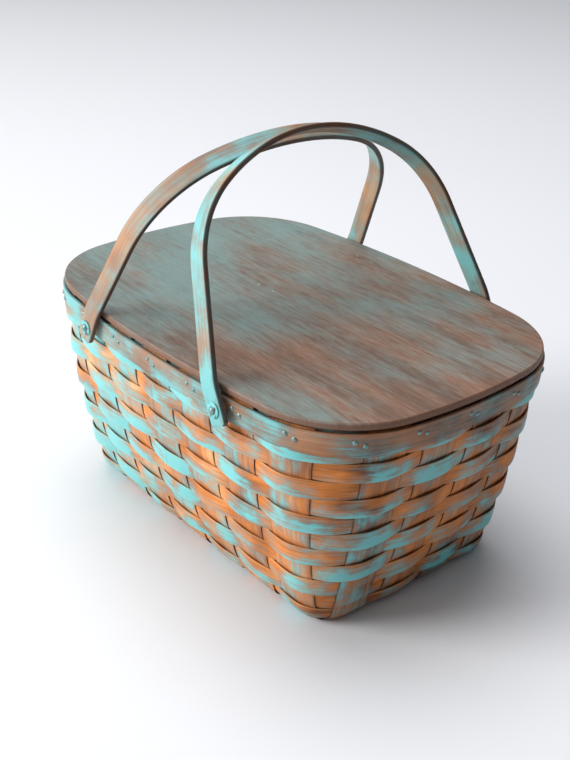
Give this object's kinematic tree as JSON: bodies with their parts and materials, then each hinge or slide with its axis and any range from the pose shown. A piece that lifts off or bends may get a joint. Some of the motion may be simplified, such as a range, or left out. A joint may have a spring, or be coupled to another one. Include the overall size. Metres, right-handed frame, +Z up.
{
  "type": "covered splint basket",
  "caption": "Woven wood splint picnic basket with a flat board lid that lifts off and two bentwood handles that swing on rivets and lean together over the lid.",
  "frame": {"origin": "on the floor, under the middle of the basket", "axes": "+Z up; +X along the basket's long side; the handles pivot about lines along Y"},
  "size_m": [0.464, 0.342, 0.3948],
  "materials": {
    "weaver_splint": "turquoise paint brushed thinly over orange-brown wood",
    "stake_splint": "thin worn turquoise paint over orange-brown wood",
    "rim_wood": "worn turquoise paint over brown wood",
    "strap_wood": "worn turquoise paint over brown wood",
    "lid_wood": "grey-green wash over brown grain",
    "washer_metal": "brushed turquoise paint on steel",
    "nail_metal": "domed steel heads, dulled by paint"
  },
  "bodies": {
    "basket": {"weaver_01": "weaver_splint", "weaver_02": "weaver_splint", "weaver_03": "weaver_splint", "weaver_04": "weaver_splint", "weaver_05": "weaver_splint", "weaver_06": "weaver_splint", "weaver_07": "weaver_splint", "weaver_08": "weaver_splint", "weaver_09": "weaver_splint", "weaver_10": "weaver_splint", "weaver_11": "weaver_splint", "cross_stake_1": "stake_splint", "cross_stake_2": "stake_splint", "cross_stake_3": "stake_splint", "cross_stake_4": "stake_splint", "cross_stake_5": "stake_splint", "cross_stake_6": "stake_splint", "cross_stake_7": "stake_splint", "long_stake_1": "stake_splint", "long_stake_2": "stake_splint", "long_stake_3": "stake_splint", "long_stake_4": "stake_splint", "rim_band_outer": "rim_wood", "rim_band_inner": "rim_wood", "rim_brads": "nail_metal", "handle_rivets": "nail_metal", "rivet_washers": "washer_metal", "strap_spacers": "rim_wood", "rivet_burrs": "nail_metal"},
    "handle_left": {"handle_left": "strap_wood"},
    "handle_right": {"handle_right": "strap_wood"},
    "lid": {"lid_board": "lid_wood", "lid_batten": "lid_wood", "lid_nails": "nail_metal"}
  },
  "joints": [
    {"name": "handle_left_swing", "type": "hinge", "parent": "basket", "child": "handle_left", "pos_m": [-0.097, 0, 0.2035], "axis": [0, -1, 0], "range_deg": [0, 167]},
    {"name": "handle_right_swing", "type": "hinge", "parent": "basket", "child": "handle_right", "pos_m": [0.097, 0, 0.2035], "axis": [0, 1, 0], "range_deg": [0, 169]},
    {"name": "lid_lift", "type": "slide", "parent": "basket", "child": "lid", "axis": [0, 0, 1], "range_m": [0, 0.008]}
  ]
}
